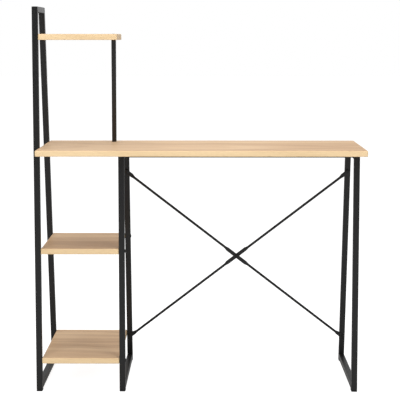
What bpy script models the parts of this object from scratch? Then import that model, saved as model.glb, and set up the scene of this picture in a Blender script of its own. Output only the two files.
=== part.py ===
"""Computer desk with an open shelf tower at its left end.

Three frames of square steel tube stand side by side: a tall one at the left end, a desk-high one at the
right side of the tower and another at the right end.  Each frame has an upright front post, a rear post
that leans back towards the floor, and a top rail and a foot rail, mitred where they meet.  Wooden boards
span the frames: two tower shelves, the desktop, and a small upper shelf above the desktop.  A slim post
carries the upper shelf's free end, and two crossed rods brace the frames behind the knee space.

Metres, +X to the right, +Y to the back, +Z up, with the origin on the floor under the middle of the desk.
"""

import math

import bmesh
import bpy
from mathutils import Matrix, Vector

# Overall size
WIDTH = 1.000
DEPTH = 0.500
HEIGHT = 1.180
GAP = 0.0003

# Steel frames
TUBE = 0.018
TUBE_WALL = 0.0012
TUBE_CORNER = 0.0016
FRAME_FRONT = -0.1445
LEAN = 0.1914
MIDDLE_FRAME_X = -0.2346
RIGHT_FRAME_X = 0.4802
GLIDE_HEIGHT = 0.005
GLIDE_LENGTH = 0.026
STRETCHER_Y = -0.0755

# Boards
BOARD = 0.018
TOP_ROUNDING = 0.003
BOTTOM_ROUNDING = 0.0015
DESKTOP_UNDERSIDE = 0.738
DESKTOP_DEPTH = 0.368
LOWER_SHELF_UNDERSIDE = 0.0876
MIDDLE_SHELF_UNDERSIDE = 0.4283
UPPER_SHELF_UNDERSIDE = 1.080

# Slim post under the upper shelf: X and Y of its axis at its foot and at its head
SLIM_TUBE = 0.014
SLIM_CORNER = 0.0012
SLIM_POST_FOOT = (-0.2706, 0.0715)
SLIM_POST_HEAD = (-0.2660, 0.0095)

# Crossed brace rods
ROD_RADIUS = 0.004
TAB_HALF_WIDTH = 0.0065
TAB_HALF_THICKNESS = 0.00125
TAB_STRAIGHT = 0.022
CROSS_STRAIGHT = 0.038
ROD_FLARE = 0.014
CROSS_STEP = 0.0015
BRACE_TOP = 0.658
BRACE_BOTTOM = 0.0885

# Fasteners
BOLT_RADIUS = 0.003
BOLT_HEAD_RADIUS = 0.006
BOLT_HEAD_HEIGHT = 0.002
BOLT_BITE = 0.012
SCREW_RADIUS = 0.002
SCREW_HEAD_RADIUS = 0.0045
SCREW_HEAD_HEIGHT = 0.0016
SCREW_BITE = 0.011
SCREW_FROM_CORNER = 0.040
HOLE_CLEARANCE = 0.0005
ACCESS_RADIUS = 0.0068
NUT_RADIUS = 0.0058
NUT_HEIGHT = 0.004
ROUND_SIDES = 12

DESKTOP_FRONT = -DEPTH / 2
MITRE_GAP = GAP / math.sqrt(2)
REAR_FACE_AT_FLOOR = DEPTH / 2 + LEAN * GLIDE_HEIGHT
TUBE_ALONG_Y = TUBE * math.hypot(1, LEAN)
FRONT_POST_Y = FRAME_FRONT + TUBE / 2
TALL_FRAME_X = (TUBE - WIDTH) / 2
BOARD_LEFT = TALL_FRAME_X + TUBE / 2 + GAP
SHELF_RIGHT = MIDDLE_FRAME_X - TUBE / 2 - GAP
LOW_FRAME_TOP = DESKTOP_UNDERSIDE - GAP
UP = Vector((0, 0, 1))
RIGHT = Vector((1, 0, 0))
FACING = Vector((0, -1, -LEAN)).normalized()


def rear_post_back(z):
    """Y of the rear posts' back face at a height."""
    return REAR_FACE_AT_FLOOR - LEAN * z


def rear_post_front(z):
    """Y of the rear posts' front face at a height."""
    return rear_post_back(z) - TUBE_ALONG_Y


def rear_post_middle(z):
    """Y of the rear posts' axis at a height."""
    return rear_post_back(z) - TUBE_ALONG_Y / 2


def make_material(name, colour, roughness, metallic):
    material = bpy.data.materials.new(name)
    material.use_nodes = True
    surface = material.node_tree.nodes["Principled BSDF"]
    surface.inputs["Base Color"].default_value = (*colour, 1)
    surface.inputs["Roughness"].default_value = roughness
    surface.inputs["Metallic"].default_value = metallic
    return material


def add_empty(name):
    empty = bpy.data.objects.new(name, None)
    bpy.context.scene.collection.objects.link(empty)
    return empty


def add_object(name, bm, material, place, parent):
    """Turns a bmesh into a named object with its faces pointing out."""
    bmesh.ops.recalc_face_normals(bm, faces=bm.faces)
    mesh = bpy.data.meshes.new(name)
    bm.to_mesh(mesh)
    bm.free()
    mesh.materials.append(material)
    mesh.shade_smooth()
    mesh.set_sharp_from_angle(angle=math.radians(35))
    item = bpy.data.objects.new(name, mesh)
    bpy.context.scene.collection.objects.link(item)
    item.matrix_world = place
    item.parent = parent
    return item


def axes_along(start, direction, across):
    """A placement at start whose Z runs along direction and whose X leans towards across."""
    z_axis = Vector(direction).normalized()
    x_axis = (across - across.dot(z_axis) * z_axis).normalized()
    turn = Matrix((x_axis, z_axis.cross(x_axis), z_axis)).transposed()
    return Matrix.Translation(start) @ turn.to_4x4()


def round_edges(bm, edges, radius, segments):
    bmesh.ops.bevel(
        bm, geom=edges, offset=radius, segments=segments, profile=0.5, affect="EDGES", material=-1
    )


def upright_edges(bm):
    return [e for e in bm.edges if (e.verts[0].co - e.verts[1].co).normalized().z ** 2 > 0.99]


def drill(item, holes):
    """Cuts round holes, each given as a start, a direction, a depth and a radius."""
    bm = bmesh.new()
    for start, direction, depth, radius in holes:
        place = axes_along(start, direction, UP + RIGHT)
        bmesh.ops.create_cone(
            bm, segments=ROUND_SIDES, radius1=radius, radius2=radius, depth=depth, cap_ends=True,
            matrix=place @ Matrix.Translation((0, 0, depth / 2)),
        )
    cutter = add_object(f"{item.name}_holes", bm, item.data.materials[0], Matrix.Identity(4), None)
    cutter.hide_render = True
    cutter.display_type = "WIRE"
    cut = item.modifiers.new("holes", "BOOLEAN")
    cut.operation = "DIFFERENCE"
    cut.solver = "EXACT"
    cut.object = cutter


class Desk:
    """Collects the desk's pieces and the holes that its fasteners need."""

    def __init__(self):
        self.root = add_empty("desk")
        self.wood = make_material("light_oak_board", (0.74, 0.55, 0.35), 0.5, 0)
        self.steel = make_material("black_powder_coat", (0.022, 0.022, 0.022), 0.45, 0.3)
        self.plastic = make_material("black_plastic", (0.015, 0.015, 0.015), 0.55, 0)
        self.hardware = make_material("blackened_steel", (0.03, 0.03, 0.03), 0.35, 0.8)
        self.pieces = {}
        self.holes = {}

    def add(self, name, bm, material, place):
        self.pieces[name] = add_object(name, bm, material, place, self.root)

    def tube(self, name, ends, side, corner, planes, across):
        """A hollow square tube between two points, each end cut along the plane with a given normal."""
        start, end = (Vector(point) for point in ends)
        place = axes_along(start, end - start, across)
        bm = bmesh.new()
        bmesh.ops.create_grid(bm, x_segments=1, y_segments=1, size=side / 2)
        bmesh.ops.bevel(
            bm, geom=bm.verts[:], offset=corner, segments=2, profile=0.5, affect="VERTICES",
            material=-1,
        )
        bore = bm.faces[:]
        bmesh.ops.inset_region(
            bm, faces=bore, thickness=TUBE_WALL, use_boundary=True, use_even_offset=True
        )
        bmesh.ops.delete(bm, geom=bore, context="FACES_ONLY")
        near = bm.verts[:]
        bmesh.ops.extrude_face_region(bm, geom=bm.faces[:], use_keep_orig=True)
        far = [v for v in bm.verts if v not in near]
        bmesh.ops.translate(bm, verts=far, vec=(0, 0, (end - start).length))
        for verts, plane in zip((near, far), planes):
            normal = place.to_3x3().inverted() @ Vector(plane)
            for v in verts:
                v.co.z -= (normal.x * v.co.x + normal.y * v.co.y) / normal.z
        self.add(name, bm, self.steel, place)

    def board(self, name, x_range, y_range, underside):
        """A board with rounded corners and edges, rounder on top."""
        size = Vector((x_range[1] - x_range[0], y_range[1] - y_range[0], BOARD))
        bm = bmesh.new()
        bmesh.ops.create_cube(bm, size=1, matrix=Matrix.Diagonal((*size, 1)))
        round_edges(bm, upright_edges(bm), TOP_ROUNDING, 3)
        for level, radius in ((BOARD / 2, TOP_ROUNDING), (-BOARD / 2, BOTTOM_ROUNDING)):
            rim = [e for e in bm.edges if all(abs(v.co.z - level) < GAP for v in e.verts)]
            round_edges(bm, rim, radius, 2)
        centre = (sum(x_range) / 2, sum(y_range) / 2, underside + BOARD / 2)
        self.add(name, bm, self.wood, Matrix.Translation(centre))

    def glide(self, name, x, start_y):
        size = Vector((TUBE, GLIDE_LENGTH, GLIDE_HEIGHT - GAP))
        bm = bmesh.new()
        bmesh.ops.create_cube(bm, size=1, matrix=Matrix.Diagonal((*size, 1)))
        round_edges(bm, upright_edges(bm), TUBE_CORNER, 2)
        centre = (x, start_y + GLIDE_LENGTH / 2, size.z / 2)
        self.add(name, bm, self.plastic, Matrix.Translation(centre))

    def turned(self, name, outline, place, sides=ROUND_SIDES):
        """A piece turned about its own Z axis from an outline of (radius, height) points."""
        bm = bmesh.new()
        verts = [bm.verts.new((radius, 0, height)) for radius, height in outline]
        edges = [bm.edges.new(pair) for pair in zip(verts, verts[1:])]
        bmesh.ops.spin(
            bm, geom=verts + edges, cent=(0, 0, 0), axis=(0, 0, 1), angle=math.tau, steps=sides,
            use_merge=True,
        )
        bmesh.ops.remove_doubles(bm, verts=bm.verts, dist=GAP / 100)
        self.add(name, bm, self.hardware, place)

    def fastener(self, name, seat, direction, radius, head_radius, head_height, length):
        """A low domed head resting on seat, with a shank along direction."""
        chamfer = radius / 4
        shank = [(0, length), (radius - chamfer, length), (radius, length - chamfer), (radius, 0)]
        dome = [
            (head_radius * math.cos(angle), -head_height * math.sin(angle))
            for angle in (0, math.pi / 6, math.pi / 3)
        ]
        outline = shank + dome + [(0, -head_height)]
        self.turned(name, outline, axes_along(seat, direction, UP + RIGHT))

    def bolt(self, name, seat, direction, length, drilled):
        """A bolt, with a clearance hole along its shank in each piece named in drilled."""
        seat, direction = Vector(seat), Vector(direction)
        self.fastener(
            name, seat, direction, BOLT_RADIUS, BOLT_HEAD_RADIUS, BOLT_HEAD_HEIGHT, length
        )
        self.clear(seat, direction, length, BOLT_RADIUS, drilled)

    def screw(self, name, seat, direction, length, drilled):
        """A thinner wood screw, with a clearance hole along its shank in each piece in drilled."""
        seat, direction = Vector(seat), Vector(direction)
        self.fastener(
            name, seat, direction, SCREW_RADIUS, SCREW_HEAD_RADIUS, SCREW_HEAD_HEIGHT, length
        )
        self.clear(seat, direction, length, SCREW_RADIUS, drilled)

    def clear(self, seat, direction, length, radius, drilled):
        start = seat - direction * GAP
        for piece in drilled:
            self.hole(piece, start, direction, length + 3 * GAP, radius + HOLE_CLEARANCE)

    def hole(self, piece, start, direction, depth, radius):
        self.holes.setdefault(piece, []).append((Vector(start), Vector(direction), depth, radius))

    def drill_all(self):
        for piece, holes in self.holes.items():
            drill(self.pieces[piece], holes)


def build_frame(desk, name, x, top):
    """Four tubes in one upright plane, mitred where they meet, on two glides."""
    low = GLIDE_HEIGHT + TUBE / 2
    high = top - TUBE / 2
    corners = [
        Vector((x, FRONT_POST_Y, low)),
        Vector((x, FRONT_POST_Y, high)),
        Vector((x, rear_post_middle(high), high)),
        Vector((x, rear_post_middle(low), low)),
    ]
    runs = [(corners[(i + 1) % 4] - corners[i]).normalized() for i in range(4)]
    for i, part in enumerate(("front_post", "top_rail", "rear_post", "foot_rail")):
        ends = (corners[i] + MITRE_GAP * runs[i], corners[(i + 1) % 4] - MITRE_GAP * runs[i])
        planes = (runs[i - 1] + runs[i], runs[i] + runs[(i + 1) % 4])
        desk.tube(f"{name}_{part}", ends, TUBE, TUBE_CORNER, planes, RIGHT)
    desk.glide(f"{name}_front_glide", x, FRAME_FRONT)
    desk.glide(f"{name}_rear_glide", x, rear_post_back(GLIDE_HEIGHT) - GLIDE_LENGTH)


def build_frames(desk):
    build_frame(desk, "tall_frame", TALL_FRAME_X, HEIGHT)
    build_frame(desk, "middle_frame", MIDDLE_FRAME_X, LOW_FRAME_TOP)
    build_frame(desk, "right_frame", RIGHT_FRAME_X, LOW_FRAME_TOP)


def build_stretcher(desk):
    """A tube between the top rails of the two low frames, bolted from their outer sides."""
    z = LOW_FRAME_TOP - TUBE / 2
    start = MIDDLE_FRAME_X + TUBE / 2 + GAP
    end = RIGHT_FRAME_X - TUBE / 2 - GAP
    desk.tube(
        "desktop_stretcher", ((start, STRETCHER_Y, z), (end, STRETCHER_Y, z)), TUBE, TUBE_CORNER,
        (RIGHT, RIGHT), UP,
    )
    for side, x, way in (("middle", start, 1), ("right", end, -1)):
        seat = (x - way * (TUBE + 2 * GAP), STRETCHER_Y, z)
        length = TUBE + 2 * GAP + BOLT_BITE
        desk.bolt(
            f"stretcher_bolt_{side}", seat, way * RIGHT, length, (f"{side}_frame_top_rail",)
        )


def build_boards(desk):
    shelves = (
        ("lower_shelf", LOWER_SHELF_UNDERSIDE),
        ("middle_shelf", MIDDLE_SHELF_UNDERSIDE),
        ("upper_shelf", UPPER_SHELF_UNDERSIDE),
    )
    for name, underside in shelves:
        back = rear_post_back(underside + BOARD)
        desk.board(name, (BOARD_LEFT, SHELF_RIGHT), (FRAME_FRONT, back), underside)
        bolt_to_tall_frame(desk, name, underside)
        if underside < DESKTOP_UNDERSIDE:
            bolt_to_middle_frame(desk, name, underside)
    desktop_back = DESKTOP_FRONT + DESKTOP_DEPTH
    desk.board("desktop", (BOARD_LEFT, WIDTH / 2), (DESKTOP_FRONT, desktop_back), DESKTOP_UNDERSIDE)
    bolt_to_tall_frame(desk, "desktop", DESKTOP_UNDERSIDE)
    screw_desktop_down(desk)


def posts_at(z):
    """The front and rear posts' names and the Y of their axes at a height."""
    return (("front", FRONT_POST_Y), ("rear", rear_post_middle(z)))


def bolt_to_tall_frame(desk, board, underside):
    """Bolts sunk inside the tall frame's posts, each reached through a wider hole outside."""
    z = underside + BOARD / 2
    for post, y in posts_at(z):
        piece = f"tall_frame_{post}_post"
        seat = (BOARD_LEFT - TUBE_WALL - 2 * GAP, y, z)
        length = TUBE_WALL + 2 * GAP + BOLT_BITE
        desk.bolt(f"{board}_left_{post}_bolt", seat, RIGHT, length, (piece, board))
        outside = (-WIDTH / 2 - GAP, y, z)
        desk.hole(piece, outside, RIGHT, TUBE / 2, ACCESS_RADIUS)


def bolt_to_middle_frame(desk, board, underside):
    """Bolts with their heads outside, through the middle frame's posts into a shelf's end."""
    z = underside + BOARD / 2
    for post, y in posts_at(z):
        seat = (MIDDLE_FRAME_X + TUBE / 2 + GAP, y, z)
        length = TUBE + 2 * GAP + BOLT_BITE
        drilled = (f"middle_frame_{post}_post", board)
        desk.bolt(f"{board}_right_{post}_bolt", seat, -RIGHT, length, drilled)


def screw_desktop_down(desk):
    """Screws up through the low frames' top rails into the desktop."""
    z = LOW_FRAME_TOP - TUBE - GAP
    front = FRAME_FRONT + SCREW_FROM_CORNER
    rear = rear_post_back(z) - SCREW_FROM_CORNER
    for side, x in (("middle", MIDDLE_FRAME_X), ("right", RIGHT_FRAME_X)):
        for place, y in (("front", front), ("rear", rear)):
            drilled = (f"{side}_frame_top_rail", "desktop")
            length = TUBE + 2 * GAP + SCREW_BITE
            desk.screw(f"desktop_screw_{side}_{place}", (x, y, z), UP, length, drilled)


def build_slim_post(desk):
    """The slim post that carries the upper shelf's free end, with a screw at each end."""
    foot = Vector((*SLIM_POST_FOOT, DESKTOP_UNDERSIDE + BOARD + GAP))
    head = Vector((*SLIM_POST_HEAD, UPPER_SHELF_UNDERSIDE - GAP))
    desk.tube("upper_shelf_post", (foot, head), SLIM_TUBE, SLIM_CORNER, (UP, UP), RIGHT)
    for name, point, way, piece in (
        ("post_foot_screw", foot, UP, "desktop"),
        ("post_head_screw", head, -UP, "upper_shelf"),
    ):
        seat = point - way * (BOARD + 2 * GAP)
        desk.screw(name, seat, way, BOARD + 2 * GAP + SCREW_BITE, (piece,))


def rod_stations(length, cross_shift):
    """Where a brace rod changes: position, half width, half thickness and offset from its axis.

    Half the rod is laid out, with a round-ended tab, a round run and a pressed middle, and mirrored.
    """
    pressed = TAB_HALF_THICKNESS - ROD_RADIUS
    cross_start = length / 2 - CROSS_STRAIGHT
    half = []
    for degrees in (18, 36, 60, 90):
        angle = math.radians(degrees)
        along, across = -TAB_HALF_WIDTH * math.cos(angle), TAB_HALF_WIDTH * math.sin(angle)
        half.append((along, across, TAB_HALF_THICKNESS, pressed))
    half.append((TAB_STRAIGHT, TAB_HALF_WIDTH, TAB_HALF_THICKNESS, pressed))
    half.append((TAB_STRAIGHT + ROD_FLARE, ROD_RADIUS, ROD_RADIUS, 0))
    half.append((cross_start - ROD_FLARE, ROD_RADIUS, ROD_RADIUS, 0))
    half.append((cross_start, TAB_HALF_WIDTH, TAB_HALF_THICKNESS, cross_shift))
    return half + [(length - along, *rest) for along, *rest in reversed(half)]


def brace_rod(desk, name, start, end, cross_shift):
    """A round rod with its ends and its middle pressed flat, parallel to the posts' front faces."""
    place = axes_along(start, end - start, (end - start).cross(FACING))
    outward = (place.to_3x3().inverted() @ FACING).y
    stations = rod_stations((end - start).length, cross_shift)
    bm = bmesh.new()
    previous = []
    for along, half_width, half_thickness, shift in stations:
        shape = Matrix.Diagonal((half_width, half_thickness, 1, 1))
        spot = Matrix.Translation((0, outward * shift, along))
        ring = bmesh.ops.create_circle(bm, segments=ROUND_SIDES, radius=1, matrix=spot @ shape)
        edges = list({e for v in ring["verts"] for e in v.link_edges})
        if previous:
            bmesh.ops.bridge_loops(bm, edges=previous + edges)
        else:
            bmesh.ops.contextual_create(bm, geom=edges)
        previous = edges
    bmesh.ops.contextual_create(bm, geom=previous)
    desk.add(name, bm, desk.steel, place)


def build_brace(desk):
    """Two crossed rods in front of the low frames' rear posts, bolted at each end and at the cross."""
    corner = {}
    for side, x in (("middle", MIDDLE_FRAME_X), ("right", RIGHT_FRAME_X)):
        for level, z in (("top", BRACE_TOP), ("bottom", BRACE_BOTTOM)):
            corner[side, level] = Vector((x, rear_post_front(z), z))
    stand_off = (GAP + ROD_RADIUS) * FACING
    cross = sum(corner.values(), Vector()) / 4 + stand_off
    tab = 2 * (TAB_HALF_THICKNESS + GAP)
    rods = (
        ("brace_rod_front", ("middle", "top"), ("right", "bottom"), CROSS_STEP),
        ("brace_rod_back", ("right", "top"), ("middle", "bottom"), -CROSS_STEP),
    )
    for name, first, last, cross_shift in rods:
        brace_rod(desk, name, corner[first] + stand_off, corner[last] + stand_off, cross_shift)
        for side, level in (first, last):
            seat = corner[side, level] + tab * FACING
            drilled = (name, f"{side}_frame_rear_post")
            desk.bolt(f"brace_bolt_{side}_{level}", seat, -FACING, tab + BOLT_BITE, drilled)
    flats = CROSS_STEP + TAB_HALF_THICKNESS + GAP
    desk.bolt(
        "brace_centre_bolt", cross + flats * FACING, -FACING, 2 * flats + NUT_HEIGHT + GAP,
        [rod[0] for rod in rods],
    )
    build_nut(desk, cross - flats * FACING)


def build_nut(desk, seat):
    bore = (BOLT_RADIUS + GAP) / math.cos(math.pi / 6)
    outline = ((bore, 0), (NUT_RADIUS, 0), (NUT_RADIUS, NUT_HEIGHT), (bore, NUT_HEIGHT), (bore, 0))
    desk.turned("brace_centre_nut", outline, axes_along(seat, -FACING, RIGHT), sides=6)


def clear_scene():
    for item in list(bpy.data.objects):
        bpy.data.objects.remove(item, do_unlink=True)


def main():
    clear_scene()
    desk = Desk()
    build_frames(desk)
    build_stretcher(desk)
    build_boards(desk)
    build_slim_post(desk)
    build_brace(desk)
    desk.drill_all()


main()
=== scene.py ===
"""The finished look of a computer desk with an open shelf tower.

Three welded frames of black square tube carry four boards of pale oak.  Every shape stands where the
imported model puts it.  Metres, +X to the right, +Y to the back, +Z up.
"""

import math
from collections import namedtuple

import bmesh
import bpy
from mathutils import Matrix, Vector


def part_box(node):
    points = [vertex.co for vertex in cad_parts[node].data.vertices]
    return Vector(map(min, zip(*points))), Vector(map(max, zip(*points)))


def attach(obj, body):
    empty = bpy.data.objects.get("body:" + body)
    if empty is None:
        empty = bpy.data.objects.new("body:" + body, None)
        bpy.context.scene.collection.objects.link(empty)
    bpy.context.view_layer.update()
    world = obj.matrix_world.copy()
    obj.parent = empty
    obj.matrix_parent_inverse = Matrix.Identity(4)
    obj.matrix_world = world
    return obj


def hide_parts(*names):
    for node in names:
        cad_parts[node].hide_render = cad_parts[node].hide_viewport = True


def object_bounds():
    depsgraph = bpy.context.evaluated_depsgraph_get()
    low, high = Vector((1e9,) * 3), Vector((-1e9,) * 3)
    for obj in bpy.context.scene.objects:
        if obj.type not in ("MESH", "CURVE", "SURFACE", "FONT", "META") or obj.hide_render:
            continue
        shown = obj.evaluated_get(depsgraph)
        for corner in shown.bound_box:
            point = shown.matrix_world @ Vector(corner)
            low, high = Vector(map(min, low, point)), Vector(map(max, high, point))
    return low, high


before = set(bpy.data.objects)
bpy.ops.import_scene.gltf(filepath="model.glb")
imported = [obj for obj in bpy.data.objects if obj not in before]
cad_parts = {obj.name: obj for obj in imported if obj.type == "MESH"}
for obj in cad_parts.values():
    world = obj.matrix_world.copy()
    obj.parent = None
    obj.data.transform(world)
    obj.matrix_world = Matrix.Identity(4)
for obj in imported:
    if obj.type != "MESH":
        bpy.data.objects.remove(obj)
cad_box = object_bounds()

UP = Vector((0, 0, 1))
RIGHT = Vector((1, 0, 0))

FRAMES = ("tall_frame", "middle_frame", "right_frame")
BOARDS = ("desktop", "middle_shelf", "lower_shelf", "upper_shelf")
ENDS = ("front", "rear")

# The gap between touching pieces, which is also near enough for two points to count as level
GAP = 0.0003

# Edges that turn through more than this many degrees are shaded as sharp
STEEL_AND_WOOD_SHARP = 40
SMALL_PARTS_SHARP = 35

# Square tube
TUBE = 0.018
TUBE_WALL = 0.0012
TUBE_CORNER = 0.0017
SLIM_TUBE = 0.014
SLIM_CORNER = 0.0014
CORNER_STEPS = 4
SEAM_HALF_WIDTH = 0.0009
SEAM_DEPTH = 0.00022
ACCESS_RADIUS = 0.0068
ACCESS_SIDES = 32

# Boards: how far their edges are rounded and in how many steps, and how upright a face has to be for
# the band to cover it
TOP_ROUNDING = 0.0032
BOTTOM_ROUNDING = 0.0016
UPRIGHT_STEPS = 6
TOP_STEPS = 5
BOTTOM_STEPS = 3
BAND_RISE = 0.7

# Brace rods
ROD_RADIUS = 0.004
TAB_HALF_WIDTH = 0.0065
TAB_HALF_THICKNESS = 0.00125
TAB_STRAIGHT = 0.020
TAB_END_STEPS = 8
CROSS_STRAIGHT = 0.036
ROD_FLARE = 0.014
CROSS_STEP = 0.0015
ROD_SIDES = 24
FLARE_STEPS = 6

# Fasteners: the shank's radius, the head's height, the recess's radius and depth, and how far the
# head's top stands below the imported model's
Kind = namedtuple("Kind", "shank rise recess recess_depth sunk")
BOLT = Kind(shank=0.003, rise=0.002, recess=0.0023, recess_depth=0.0014, sunk=0.0)
SCREW = Kind(shank=0.002, rise=0.0016, recess=0.0021, recess_depth=0.0012, sunk=0.0)
FLAT_SCREW = Kind(shank=0.002, rise=0.0006, recess=0.0017, recess_depth=0.0012, sunk=0.0010)
HEAD_SIDES = 24
DOME_ANGLES = (6, 22, 38, 52, 62)
HEAD_UNDERSIDE = 0.98
SHANK_CHAMFER = 0.25
RECESS_LIP = 0.9
RECESS_TAPER = 0.94
CROSS_WAIST = 0.42
NUT_CHAMFER = 0.0006
NUT_FLAT = 0.96

# Glides: heights of the moulding's steps from the floor, each with how far it stands in
GLIDE_STEPS = (
    (0.0, 0.0012), (0.0003, 0.0005), (0.0010, 0.0), (0.0031, 0.0), (0.0033, 0.0004), (0.0038, 0.0004),
    (0.0040, 0.0), (0.0047, 0.0),
)

# Oak, as colours of early and late wood and how strongly the growth zones show
VENEER = ((0.82, 0.585, 0.365, 1), (0.56, 0.350, 0.195, 1), 1.1)
BAND = ((0.84, 0.635, 0.380, 1), (0.72, 0.520, 0.295, 1), 0.15)
PORE_COLOUR = (0.40, 0.24, 0.12, 1)

# Where the trunk's heart lies beside a board's middle and below it, in metres, how far it sways, and how
# much it rises for each metre along the board and each metre up
HEART_ASIDE = 0.13
HEART_BELOW = 0.050
SWAY_ASIDE = 0.12
SWAY_BELOW = 0.06
RISE_ALONG = 0.030
RISE_UP = 0.35

# Growth zones and rings for each metre out from the heart, how much the zones change for each metre
# along the board and each metre up, and where in their pattern they start
ZONES = 34
RINGS = 80
CHANGE_ALONG = 1.3
CHANGE_UP = 2
ZONE_START = 15.9

# Grain drawn out along the board: cycles a metre along and across, octaves and their roughness
SWAY_GRAIN = (1.6, 5.0, 2.0)
RING_GRAIN = (4.0, 60.0, 3.0)
FIBRE_GRAIN = (9.0, 900.0, 3.0, 0.6)
STREAK_GRAIN = (3.0, 160.0, 2.0)
PORE_GRAIN = (60.0, 1500.0, 1.0)

# Studio: its floor, its lamps, and the grey levels of the room that the steel reflects, each at a place
# from front to back or at a rise above the horizon
FLOOR_HALF = 30.0
BACKDROP_LEVELS = ((0.0, 0.16), (0.45, 0.22), (0.62, 0.70), (1.0, 0.95))
BACKDROP_FADE = ((0.06, 1.0), (0.26, 0.36))
CEILING_LEVELS = ((0.25, 0.0), (0.9, 0.7))
LAMPS = (
    # name, place, aim, width, height, watts
    ("front_left_softbox", (-1.9, -4.4, 2.5), (0.0, 0.0, 0.5), 2.6, 2.2, 138),
    ("front_right_softbox", (2.4, -3.8, 2.2), (0.0, 0.0, 0.5), 2.0, 2.0, 66),
    ("overhead_softbox", (0.0, 0.0, 3.4), (0.0, 0.0, 0.0), 3.0, 3.0, 44),
)

# Camera, its turns in degrees down and to the left
CAMERA_AT = (0.0284, -3.8987, 1.090)
CAMERA_DOWN = 5.747
CAMERA_LEFT = 0.363
LENS = 112.15
SENSOR_WIDTH = 36
SHIFT_Y = -0.095


# ---------------------------------------------------------------- shader trees


class Socket:
    """A shader node's output, wrapped so that sums on it are written as sums."""

    def __init__(self, finish, link):
        self.finish = finish
        self.link = link

    def maths(self, operation, first, second):
        return self.finish.add("ShaderNodeMath", {"operation": operation}, {0: first, 1: second})

    def __add__(self, other):
        return self.maths("ADD", self, other)

    def __sub__(self, other):
        return self.maths("SUBTRACT", self, other)

    def __rsub__(self, other):
        return self.maths("SUBTRACT", other, self)

    def __mul__(self, other):
        return self.maths("MULTIPLY", self, other)

    def __pow__(self, other):
        return self.maths("POWER", self, other)

    def __rpow__(self, other):
        return self.maths("POWER", other, self)

    __radd__ = __add__
    __rmul__ = __mul__


class Finish:
    """A node tree under construction: a material's, or the world's."""

    def __init__(self, owner):
        owner.use_nodes = True
        self.owner = owner
        self.tree = owner.node_tree

    def add(self, kind, settings=None, inputs=None, output=0):
        """Adds a node, sets it, feeds its sockets with values or links, and returns an output."""
        node = self.tree.nodes.new(kind)
        for name, value in (settings or {}).items():
            if name == "stops":
                self.set_stops(node.color_ramp, value)
            else:
                setattr(node, name, value)
        self.feed(node, inputs or {})
        return Socket(self, node.outputs[output])

    def set_stops(self, ramp, stops):
        while len(ramp.elements) < len(stops):
            ramp.elements.new(1)
        for element, (position, colour) in zip(ramp.elements, stops):
            element.position = position
            element.color = colour

    def feed(self, node, inputs):
        for name, value in inputs.items():
            if isinstance(value, Socket):
                self.tree.links.new(value.link, node.inputs[name])
            else:
                node.inputs[name].default_value = value

    def surface(self, **inputs):
        """Feeds the material's own surface shader; underscores in a name stand for spaces."""
        node = self.tree.nodes["Principled BSDF"]
        self.feed(node, {name.replace("_", " "): value for name, value in inputs.items()})
        return self.owner

    def place(self, scale=(1, 1, 1)):
        """Object coordinates in metres, scaled."""
        where = self.add("ShaderNodeTexCoord", output="Object")
        return self.add("ShaderNodeMapping", {}, {"Vector": where, "Scale": scale})

    def noise(self, where, scale, detail=2.0, roughness=0.5):
        inputs = {"Vector": where, "Scale": scale, "Detail": detail, "Roughness": roughness}
        return self.add("ShaderNodeTexNoise", {}, inputs)

    def ramp(self, factor, *stops):
        """A smooth step through grey levels, each stop a (position, level)."""
        stops = [(position, (level, level, level, 1)) for position, level in stops]
        return self.add("ShaderNodeValToRGB", {"stops": stops}, {"Fac": factor})

    def blend(self, factor, first, second):
        """Mixes two colours."""
        inputs = {0: factor, 6: first, 7: second}
        return self.add("ShaderNodeMix", {"data_type": "RGBA"}, inputs, output=2)

    def bump(self, height, distance, strength=1.0):
        inputs = {"Height": height, "Distance": distance, "Strength": strength}
        return self.add("ShaderNodeBump", {}, inputs)


def new_finish(name):
    return Finish(bpy.data.materials.new(name))


# ---------------------------------------------------------------- materials


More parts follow.
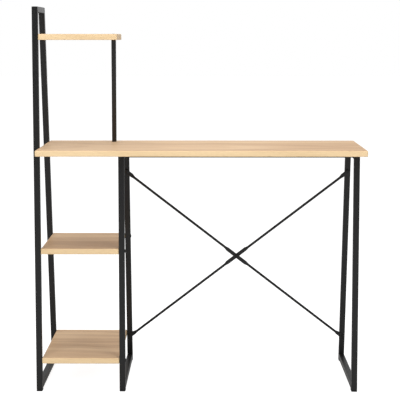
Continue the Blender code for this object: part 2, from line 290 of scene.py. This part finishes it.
def oak(name, light, dark, figure, turned=False):
    """Oak cut along the board: growth zones, rings, fine fibres and short pores, under satin lacquer.

    light and dark are its early and late wood, and figure is how strongly the growth zones show.  The
    grain runs along X, or along Y when it is turned.
    """
    finish = new_finish(name)

    def grain(along, across, detail, roughness=0.5):
        scale = (across, along, across) if turned else (along, across, across)
        return finish.noise(finish.place(scale), 1.0, detail, roughness)

    here = finish.place()
    x, y, z = (finish.add("ShaderNodeSeparateXYZ", {}, {"Vector": here}, axis) for axis in "XYZ")
    if turned:
        x, y = y, x
    sway = grain(*SWAY_GRAIN) - 0.5
    across = y + HEART_ASIDE + sway * SWAY_ASIDE
    height = z * RISE_UP + HEART_BELOW + x * RISE_ALONG + sway * SWAY_BELOW
    radius = (across * across + height * height) ** 0.5
    zone_place = {"X": x * CHANGE_ALONG, "Y": radius * ZONES, "Z": z * CHANGE_UP + ZONE_START}
    zone_noise = finish.noise(finish.add("ShaderNodeCombineXYZ", {}, zone_place), 1.0, 2.0, 0.6)
    zones = finish.ramp(zone_noise, (0.36, 0.0), (0.66, 1.0))
    turns = radius * RINGS + grain(*RING_GRAIN)
    rings = finish.add("ShaderNodeMath", {"operation": "FRACT"}, {0: turns})
    late = finish.ramp(rings, (0.0, 0.25), (0.55, 0.0), (0.88, 1.0), (1.0, 0.25))
    fibre = grain(*FIBRE_GRAIN)
    streak = grain(*STREAK_GRAIN)
    pore = finish.ramp(grain(*PORE_GRAIN), (0.60, 0.0), (0.70, 1.0))
    tone = zones * figure + late * (0.20 + 0.3 * figure) + fibre * 0.25 + streak * 0.25
    spread = {"Value": tone, "From Min": 0.22, "From Max": 0.62 + 1.1 * figure}
    shade = finish.add("ShaderNodeMapRange", {}, spread)
    wood = finish.blend(pore * 0.28, finish.blend(shade, light, dark), PORE_COLOUR)
    relief = finish.bump(fibre * 0.4 - pore * 0.6, distance=0.00004)
    return finish.surface(
        Base_Color=wood, Roughness=fibre * 0.16 + 0.38, Normal=relief, Specular_IOR_Level=0.35
    )


def powder_coat(name):
    """Black powder coat: a fine orange-peel skin with a little dust in it."""
    finish = new_finish(name)
    here = finish.place()
    peel = finish.noise(here, scale=1400.0)
    drift = finish.noise(here, scale=14.0)
    dust = finish.ramp(finish.noise(here, scale=620.0, detail=1.0), (0.64, 0.0), (0.74, 1.0))
    clean, dusty = (0.0075, 0.0076, 0.0078, 1), (0.015, 0.015, 0.0152, 1)
    colour = finish.blend(drift * 0.6 + dust * 0.25, clean, dusty)
    relief = finish.bump(peel, distance=0.00008, strength=0.6)
    return finish.surface(
        Base_Color=colour, Roughness=drift * 0.10 + peel * 0.08 + 0.28, Normal=relief,
        Specular_IOR_Level=0.5,
    )


def moulded_plastic(name):
    """Black moulded plastic with a spark-eroded grain."""
    finish = new_finish(name)
    here = finish.place()
    grain = finish.noise(here, scale=2200.0)
    scuff = finish.noise(finish.place((40.0, 200.0, 40.0)), scale=1.0, detail=3.0)
    fresh, scuffed = (0.006, 0.006, 0.006, 1), (0.016, 0.016, 0.016, 1)
    colour = finish.blend(scuff, fresh, scuffed)
    relief = finish.bump(grain, distance=0.00006, strength=0.5)
    return finish.surface(Base_Color=colour, Roughness=scuff * 0.2 + 0.45, Normal=relief)


def black_zinc(name):
    """Blackened steel fasteners, turned, with a faint sheen where the tool touched."""
    finish = new_finish(name)
    stain = finish.noise(finish.place(), scale=500.0, detail=3.0)
    scratch = finish.noise(finish.place((3000.0, 3000.0, 400.0)), scale=1.0)
    black, worn = (0.020, 0.020, 0.021, 1), (0.060, 0.059, 0.058, 1)
    colour = finish.blend(stain, black, worn)
    relief = finish.bump(scratch, distance=0.00002, strength=0.5)
    return finish.surface(
        Base_Color=colour, Metallic=0.85, Roughness=stain * 0.2 + scratch * 0.1 + 0.25, Normal=relief
    )


def studio_floor(name):
    """Pale paper that the camera sees almost white, with only faint shadows, yet throws back less light."""
    finish = new_finish(name)
    tone = finish.noise(finish.place(), scale=3.0)
    colour = finish.blend(tone, (0.40, 0.40, 0.40, 1), (0.43, 0.43, 0.43, 1))
    seen = finish.add("ShaderNodeLightPath", output="Is Camera Ray")
    glow = finish.blend(seen, (0.1, 0.1, 0.1, 1), (0.90, 0.90, 0.90, 1))
    return finish.surface(
        Base_Color=colour, Roughness=0.9, Specular_IOR_Level=0.1, Emission_Color=glow, Emission_Strength=1.0
    )


# ---------------------------------------------------------------- pieces


def make_piece(name, bm, finishes, nodes, sharp=STEEL_AND_WOOD_SHARP):
    """Turns a bmesh into a smooth-shaded piece that rides with the desk and stands for its nodes."""
    mesh = bpy.data.meshes.new(name)
    bm.to_mesh(mesh)
    bm.free()
    for finish in finishes:
        mesh.materials.append(finish)
    mesh.shade_smooth()
    mesh.set_sharp_from_angle(angle=math.radians(sharp))
    piece = bpy.data.objects.new(name, mesh)
    bpy.context.scene.collection.objects.link(piece)
    shading = piece.modifiers.new("even_shading", "WEIGHTED_NORMAL")
    shading.keep_sharp = True
    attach(piece, "root")
    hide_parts(*nodes)


def box_of(*nodes):
    """The lowest and highest corners of several nodes together."""
    lows, highs = zip(*(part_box(node) for node in nodes))
    return Vector(map(min, *lows)), Vector(map(max, *highs))


def axes_along(start, direction, across):
    """A placement at start whose Z runs along direction and whose X leans towards across."""
    z_axis = Vector(direction).normalized()
    x_axis = (across - across.dot(z_axis) * z_axis).normalized()
    turn = Matrix((x_axis, z_axis.cross(x_axis), z_axis)).transposed()
    return Matrix.Translation(start) @ turn.to_4x4()


def rounded_outline(bm, width, depth, corner, place):
    """The edges of a rounded oblong outline, laid by a placement matrix."""
    before = set(bm.verts)
    bmesh.ops.create_grid(
        bm, x_segments=1, y_segments=1, size=0.5, matrix=Matrix.Diagonal((width, depth, 1, 1))
    )
    verts = [v for v in bm.verts if v not in before]
    bmesh.ops.bevel(
        bm, geom=verts, offset=corner, segments=CORNER_STEPS, profile=0.5, affect="VERTICES",
        material=-1,
    )
    verts = [v for v in bm.verts if v not in before]
    faces = {f for v in verts for f in v.link_faces}
    bmesh.ops.delete(bm, geom=list(faces), context="FACES_ONLY")
    bmesh.ops.transform(bm, matrix=place, verts=verts)
    return edges_of(verts)


def edges_of(verts):
    return list({e for v in verts for e in v.link_edges})


def skin(bm, rings, closed=False):
    """Joins each ring of edges to the next, then the last to the first or else caps both ends."""
    pairs = list(zip(rings, rings[1:]))
    if closed:
        pairs.append((rings[-1], rings[0]))
    for first, second in pairs:
        bmesh.ops.bridge_loops(bm, edges=first + second)
    if not closed:
        for ring in (rings[0], rings[-1]):
            bmesh.ops.contextual_create(bm, geom=ring)
    bmesh.ops.recalc_face_normals(bm, faces=bm.faces)


def lean_of_rear_posts():
    """How far back the rear posts go for each metre down, from two posts of unlike height."""
    tall_low, tall_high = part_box("tall_frame_rear_post")
    short_low, short_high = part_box("middle_frame_rear_post")
    tall, short = tall_high - tall_low, short_high - short_low
    return (tall.y - short.y) / (tall.z - short.z)


LEAN = lean_of_rear_posts()
FACING = Vector((0, -1, -LEAN)).normalized()
POST_BACK_AT_FLOOR = (
    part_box("tall_frame_rear_post")[1].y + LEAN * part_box("tall_frame_rear_post")[0].z
)


def rear_post_front(z):
    """Y of the rear posts' front face at a height."""
    return POST_BACK_AT_FLOOR - TUBE * math.hypot(1, LEAN) - LEAN * z


def frame_loop(bm, corners, side, corner_radius, seam_depth):
    """A square tube swept round a frame's corners, its mitres' seams ground in to seam_depth, if any."""
    count = len(corners)
    runs = [(corners[(i + 1) % count] - corners[i]).normalized() for i in range(count)]
    rings = []
    for i, corner in enumerate(corners):
        inward, outward = runs[i - 1], runs[i]
        first, second = inward.cross(RIGHT), outward.cross(RIGHT)
        mitre = (first + second) / (1 + first.dot(second))
        stations = [(0, outward, seam_depth)]
        if seam_depth:
            stations.insert(0, (-SEAM_HALF_WIDTH, inward, 0))
            stations.append((SEAM_HALF_WIDTH, outward, 0))
        for shift, run, depth in stations:
            size = 1 - 2 * depth / side
            place = Matrix((RIGHT * size, mitre * size, inward)).transposed().to_4x4()
            place.translation = corner + shift * run
            rings.append(rounded_outline(bm, side, side, corner_radius, place))
    skin(bm, rings, closed=True)


def frame_nodes(name):
    return [f"{name}_{part}" for part in ("front_post", "rear_post", "top_rail", "foot_rail")]


def frame_corners(name):
    """The corners of a frame's tube axis, from its tubes' boxes."""
    low, high = box_of(*frame_nodes(name))
    x = (low.x + high.x) / 2
    front = low.y + TUBE / 2
    bottom, top = low.z + TUBE / 2, high.z - TUBE / 2
    half = TUBE * math.hypot(1, LEAN) / 2
    return [
        Vector((x, front, bottom)),
        Vector((x, front, top)),
        Vector((x, rear_post_front(top) + half, top)),
        Vector((x, rear_post_front(bottom) + half, bottom)),
    ]


def hollow_out(bm, corners):
    """Adds the tube's bore as an inner wall that faces the hollow."""
    bore = bmesh.new()
    inner_corner = max(TUBE_CORNER - TUBE_WALL, GAP)
    frame_loop(bore, corners, TUBE - 2 * TUBE_WALL, inner_corner, 0)
    bmesh.ops.reverse_faces(bore, faces=bore.faces)
    mesh = bpy.data.meshes.new("bore")
    bore.to_mesh(mesh)
    bore.free()
    bm.from_mesh(mesh)
    bpy.data.meshes.remove(mesh)


def access_drill():
    """Round cutters through the tall frame's outer wall, one in line with each sunk bolt."""
    bm = bmesh.new()
    for board in BOARDS:
        for post in ENDS:
            low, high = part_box(f"{board}_left_{post}_bolt")
            spot = (low + high) / 2
            spot.x = cad_box[0].x
            bmesh.ops.create_cone(
                bm, segments=ACCESS_SIDES, radius1=ACCESS_RADIUS, radius2=ACCESS_RADIUS,
                depth=TUBE / 2, cap_ends=True, matrix=axes_along(spot, RIGHT, UP),
            )
    return bm


def cut_away(bm, cutter):
    """The first shape with the second cut out of it."""
    items = []
    for shape in (bm, cutter):
        mesh = bpy.data.meshes.new("blank")
        shape.to_mesh(mesh)
        shape.free()
        items.append(bpy.data.objects.new("blank", mesh))
        bpy.context.scene.collection.objects.link(items[-1])
    cut = items[0].modifiers.new("cut", "BOOLEAN")
    cut.object = items[1]
    result = bmesh.new()
    result.from_object(items[0], bpy.context.evaluated_depsgraph_get())
    for item in items:
        bpy.data.objects.remove(item)
    return result


def build_frame(name, finish):
    """A welded frame: four tubes in one loop, the tall one with access holes to its sunk bolts."""
    bm = bmesh.new()
    corners = frame_corners(name)
    frame_loop(bm, corners, TUBE, TUBE_CORNER, SEAM_DEPTH)
    if name == "tall_frame":
        hollow_out(bm, corners)
        bm = cut_away(bm, access_drill())
    make_piece(f"{name}_welded", bm, [finish], frame_nodes(name))


def round_off(bm, edges, radius, steps):
    bmesh.ops.bevel(
        bm, geom=edges, offset=radius, segments=steps, profile=0.5, affect="EDGES", material=-1
    )


def build_board(name, veneer, long_band, end_band):
    """A veneered board with rounded edges, banded along its sides and round its ends."""
    low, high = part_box(name)
    size = high - low
    bm = bmesh.new()
    place = Matrix.Translation((low + high) / 2) @ Matrix.Diagonal((*size, 1))
    bmesh.ops.create_cube(bm, size=1, matrix=place)
    upright = [e for e in bm.edges if abs(e.verts[0].co.z - e.verts[1].co.z) > size.z / 2]
    round_off(bm, upright, TOP_ROUNDING, UPRIGHT_STEPS)
    for level, radius, steps in ((high.z, TOP_ROUNDING, TOP_STEPS), (low.z, BOTTOM_ROUNDING, BOTTOM_STEPS)):
        rim = [e for e in bm.edges if all(abs(v.co.z - level) < GAP for v in e.verts)]
        round_off(bm, rim, radius, steps)
    bmesh.ops.recalc_face_normals(bm, faces=bm.faces)
    for face in bm.faces:
        if abs(face.normal.z) < BAND_RISE:
            face.material_index = 2 if abs(face.normal.x) > abs(face.normal.y) else 1
    make_piece(f"{name}_board", bm, [veneer, long_band, end_band], [name])


def build_straight_tube(name, start, end, side, corner, across, finish):
    """A square tube between two points, one of its sides facing across, with its cut ends closed."""
    start, end = Vector(start), Vector(end)
    bm = bmesh.new()
    place = axes_along(start, end - start, across)
    far = Matrix.Translation(end - start) @ place
    skin(bm, [rounded_outline(bm, side, side, corner, matrix) for matrix in (place, far)])
    make_piece(f"{name}_tube", bm, [finish], [name])


def build_stretcher(finish):
    low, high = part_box("desktop_stretcher")
    middle = (low + high) / 2
    start, end = (low.x, middle.y, middle.z), (high.x, middle.y, middle.z)
    build_straight_tube("desktop_stretcher", start, end, TUBE, TUBE_CORNER, UP, finish)


def build_slim_post(finish):
    """The slim post leans both ways: its foot is left of and behind its head."""
    low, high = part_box("upper_shelf_post")
    rise = high.z - low.z
    lean = (high.y - low.y - SLIM_TUBE) / rise
    half = SLIM_TUBE * math.hypot(1, lean) / 2
    foot = (low.x + SLIM_TUBE / 2, high.y - half, low.z)
    head = (high.x - SLIM_TUBE / 2, low.y + half, high.z)
    build_straight_tube("upper_shelf_post", foot, head, SLIM_TUBE, SLIM_CORNER, RIGHT, finish)


def smooth_step(share):
    return share * share * (3 - 2 * share)


def rod_stations(length, cross_shift):
    """Half a rod's stations, then their mirror: position, half width, half thickness and offset."""
    pressed = TAB_HALF_THICKNESS - ROD_RADIUS
    cross_start = length / 2 - CROSS_STRAIGHT
    half = []
    for i in range(1, TAB_END_STEPS + 1):
        angle = i * math.pi / 2 / TAB_END_STEPS
        along, across = -TAB_HALF_WIDTH * math.cos(angle), TAB_HALF_WIDTH * math.sin(angle)
        half.append((along, across, TAB_HALF_THICKNESS, pressed))

    def flare(start, shift, to_round):
        """The stations where the rod goes from flat to round, or back again."""
        for i in range(FLARE_STEPS + 1):
            share = smooth_step(i / FLARE_STEPS if to_round else 1 - i / FLARE_STEPS)
            half.append((
                start + ROD_FLARE * i / FLARE_STEPS,
                TAB_HALF_WIDTH + (ROD_RADIUS - TAB_HALF_WIDTH) * share,
                TAB_HALF_THICKNESS + (ROD_RADIUS - TAB_HALF_THICKNESS) * share,
                shift * (1 - share),
            ))

    flare(TAB_STRAIGHT, pressed, to_round=True)
    flare(cross_start - ROD_FLARE, cross_shift, to_round=False)
    return half + [(length - along, *rest) for along, *rest in reversed(half)]


def on_brace_plane(bolt, stand_off):
    """Where a brace bolt's axis meets the plane a given distance in front of the rear posts."""
    low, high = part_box(bolt)
    centre = (low + high) / 2
    on_post = Vector((0, rear_post_front(0), 0))
    return centre + (stand_off - (centre - on_post).dot(FACING)) * FACING


def build_brace_rod(name, first, last, cross_shift, finish):
    """A round rod with its ends and its middle pressed flat against the posts' front faces."""
    start = on_brace_plane(first, GAP + ROD_RADIUS)
    end = on_brace_plane(last, GAP + ROD_RADIUS)
    place = axes_along(start, end - start, (end - start).cross(FACING))
    outward = (place.to_3x3().inverted() @ FACING).y
    bm = bmesh.new()
    rings = []
    for along, half_width, half_thickness, shift in rod_stations((end - start).length, cross_shift):
        shape = Matrix.Diagonal((half_width, half_thickness, 1, 1))
        spot = Matrix.Translation((0, outward * shift, along))
        ring = bmesh.ops.create_circle(
            bm, segments=ROD_SIDES, radius=1, matrix=place @ spot @ shape
        )
        rings.append(edges_of(ring["verts"]))
    skin(bm, rings)
    make_piece(f"{name}_pressed", bm, [finish], [name])


def ring_at(bm, radius, height, place):
    """A round ring's edges about a placement's Z axis."""
    ring = bmesh.ops.create_circle(
        bm, segments=HEAD_SIDES, radius=radius, matrix=place @ Matrix.Translation((0, 0, height))
    )
    return edges_of(ring["verts"])


def hexagon_at(bm, radius, height, place):
    """A hexagon whose sides are cut up to match a round ring."""
    ring = bmesh.ops.create_circle(
        bm, segments=6, radius=radius, matrix=place @ Matrix.Translation((0, 0, height))
    )
    cut = bmesh.ops.subdivide_edges(bm, edges=edges_of(ring["verts"]), cuts=HEAD_SIDES // 6 - 1)
    return [item for item in cut["geom"] if isinstance(item, bmesh.types.BMEdge)]


def cross_at(bm, radius, height, place):
    """A cross recess's outline: a round ring drawn in between its four points."""
    at_height = place @ Matrix.Translation((0, 0, height))
    ring = bmesh.ops.create_circle(bm, segments=HEAD_SIDES, radius=radius, matrix=at_height)
    quarter = HEAD_SIDES // 4
    drawn_in = [v for i, v in enumerate(ring["verts"]) if i % quarter]
    bmesh.ops.scale(bm, verts=drawn_in, vec=(CROSS_WAIST, CROSS_WAIST, 1), space=at_height.inverted())
    return edges_of(ring["verts"])


def lie_of(name, way):
    """A placement at a fastener's head end with Z along its shank, its length and its head's radius."""
    turn = axes_along(Vector(), way, UP + RIGHT)
    spots = [turn.inverted() @ v.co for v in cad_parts[name].data.vertices]
    low, high = Vector(map(min, *spots)), Vector(map(max, *spots))
    middle = (low + high) / 2
    place = turn @ Matrix.Translation((middle.x, middle.y, low.z))
    return place, high.z - low.z, (high.x - low.x) / 2


def build_fastener(name, way, kind, finish):
    """A low domed head with a recess, and a shank; way points from the head along the shank."""
    place, length, head = lie_of(name, way)
    place = place @ Matrix.Translation((0, 0, kind.sunk))
    length -= kind.sunk
    chamfer = kind.shank * SHANK_CHAMFER
    recess_at = hexagon_at if kind == BOLT else cross_at
    bm = bmesh.new()
    rings = [
        ring_at(bm, kind.shank - chamfer, length, place),
        ring_at(bm, kind.shank, length - chamfer, place),
        ring_at(bm, kind.shank, kind.rise, place),
        ring_at(bm, head * HEAD_UNDERSIDE, kind.rise, place),
    ]
    for degrees in DOME_ANGLES:
        angle = math.radians(degrees)
        crown = kind.rise * (1 - math.sin(angle))
        rings.append(ring_at(bm, head * math.cos(angle), crown, place))
    rings.append(recess_at(bm, kind.recess, crown * RECESS_LIP, place))
    rings.append(recess_at(bm, kind.recess * RECESS_TAPER, kind.recess_depth, place))
    skin(bm, rings)
    make_piece(f"{name}_turned", bm, [finish], [name], sharp=SMALL_PARTS_SHARP)


def build_nut(finish):
    """A hexagon nut, its corners turned down on both faces, round the centre bolt."""
    place, height, radius = lie_of("brace_centre_nut", -FACING)
    bore = BOLT.shank + GAP
    flat = radius * math.cos(math.pi / 6) * NUT_FLAT
    bm = bmesh.new()
    rings = [
        ring_at(bm, bore, NUT_CHAMFER, place),
        ring_at(bm, bore + NUT_CHAMFER / 2, 0, place),
        ring_at(bm, flat, 0, place),
        hexagon_at(bm, radius, NUT_CHAMFER, place),
        hexagon_at(bm, radius, height - NUT_CHAMFER, place),
        ring_at(bm, flat, height, place),
        ring_at(bm, bore + NUT_CHAMFER / 2, height, place),
        ring_at(bm, bore, height - NUT_CHAMFER, place),
    ]
    skin(bm, rings, closed=True)
    nodes = ["brace_centre_nut"]
    make_piece("brace_centre_nut_turned", bm, [finish], nodes, sharp=SMALL_PARTS_SHARP)


def build_glide(name, finish):
    """A moulded glide: a worn-soft foot, a straight pad and a thin groove under its top lip."""
    low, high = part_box(name)
    size, middle = high - low, (low + high) / 2
    bm = bmesh.new()
    rings = []
    for height, inset in GLIDE_STEPS:
        place = Matrix.Translation((middle.x, middle.y, low.z + min(height, size.z)))
        rings.append(
            rounded_outline(bm, size.x - 2 * inset, size.y - 2 * inset, TUBE_CORNER, place)
        )
    skin(bm, rings)
    make_piece(f"{name}_moulded", bm, [finish], [name], sharp=SMALL_PARTS_SHARP)


def build_fasteners(finish):
    sides = ("middle", "right")
    shelves = ("middle_shelf", "lower_shelf")
    board_bolts = [f"{board}_left_{post}_bolt" for board in BOARDS for post in ENDS]
    shelf_bolts = [f"{shelf}_right_{post}_bolt" for shelf in shelves for post in ENDS]
    brace_bolts = [f"brace_bolt_{side}_{level}" for side in sides for level in ("top", "bottom")]
    desktop_screws = [f"desktop_screw_{side}_{post}" for side in sides for post in ENDS]
    for kind, way, names in (
        (BOLT, RIGHT, board_bolts + ["stretcher_bolt_middle"]),
        (BOLT, -RIGHT, shelf_bolts + ["stretcher_bolt_right"]),
        (BOLT, -FACING, brace_bolts + ["brace_centre_bolt"]),
        (SCREW, UP, desktop_screws + ["post_foot_screw"]),
        (FLAT_SCREW, -UP, ["post_head_screw"]),
    ):
        for name in names:
            build_fastener(name, way, kind, finish)
    build_nut(finish)


def build_desk():
    steel = powder_coat("black_powder_coat")
    veneer = oak("pale_oak_veneer", *VENEER)
    long_band = oak("pale_oak_long_band", *BAND)
    end_band = oak("pale_oak_end_band", *BAND, turned=True)
    plastic = moulded_plastic("black_moulded_plastic")
    zinc = black_zinc("black_zinc")
    for name in FRAMES:
        build_frame(name, steel)
    for name in BOARDS:
        build_board(name, veneer, long_band, end_band)
    build_stretcher(steel)
    build_slim_post(steel)
    for rod, first, last, cross_shift in (
        ("brace_rod_front", "brace_bolt_middle_top", "brace_bolt_right_bottom", CROSS_STEP),
        ("brace_rod_back", "brace_bolt_right_top", "brace_bolt_middle_bottom", -CROSS_STEP),
    ):
        build_brace_rod(rod, first, last, cross_shift, steel)
    for name in FRAMES:
        for end in ENDS:
            build_glide(f"{name}_{end}_glide", plastic)
    build_fasteners(zinc)


def add_softbox(name, location, target, width, height, watts):
    """A broad lamp that lights the desk but doesn't show in the steel's gloss."""
    data = bpy.data.lights.new(name, "AREA")
    data.shape = "RECTANGLE"
    data.size = width
    data.size_y = height
    data.energy = watts
    lamp = bpy.data.objects.new(name, data)
    lamp.visible_glossy = False
    bpy.context.scene.collection.objects.link(lamp)
    lamp.location = location
    lamp.rotation_euler = (Vector(target) - Vector(location)).to_track_quat("-Z", "Y").to_euler()


def lay_floor():
    bm = bmesh.new()
    bmesh.ops.create_grid(bm, x_segments=1, y_segments=1, size=FLOOR_HALF)
    mesh = bpy.data.meshes.new("floor")
    bm.to_mesh(mesh)
    bm.free()
    mesh.materials.append(studio_floor("white_paper"))
    floor = bpy.data.objects.new("floor", mesh)
    bpy.context.scene.collection.objects.link(floor)


def light_studio():
    """Softboxes in a room that looks white; its greys show only in the desk's gloss and soft light."""
    world = bpy.data.worlds.new("studio")
    bpy.context.scene.world = world
    sky = Finish(world)
    direction = sky.add("ShaderNodeTexCoord", output="Generated")
    back = sky.add("ShaderNodeSeparateXYZ", {}, {"Vector": direction}, "Y")
    up = sky.add("ShaderNodeSeparateXYZ", {}, {"Vector": direction}, "Z")
    backdrop = sky.ramp(back * 0.5 + 0.5, *BACKDROP_LEVELS) * sky.ramp(up, *BACKDROP_FADE)
    ceiling = sky.ramp(up, *CEILING_LEVELS)
    glow = sky.add("ShaderNodeMath", {"operation": "MAXIMUM"}, {0: backdrop, 1: ceiling})
    seen = sky.add("ShaderNodeLightPath", output="Is Camera Ray")
    colour = sky.blend(seen, glow, (1, 1, 1, 1))
    sky.feed(sky.tree.nodes["Background"], {"Color": colour, "Strength": 1.0})
    for lamp in LAMPS:
        add_softbox(*lamp)


def aim_camera():
    data = bpy.data.cameras.new("camera")
    data.lens = LENS
    data.sensor_width = SENSOR_WIDTH
    data.shift_y = SHIFT_Y
    camera = bpy.data.objects.new("camera", data)
    bpy.context.scene.collection.objects.link(camera)
    camera.location = CAMERA_AT
    camera.rotation_euler = (math.radians(90 - CAMERA_DOWN), 0, math.radians(CAMERA_LEFT))
    bpy.context.scene.camera = camera
    bpy.context.scene.view_settings.view_transform = "Standard"


build_desk()
lay_floor()
light_studio()
aim_camera()
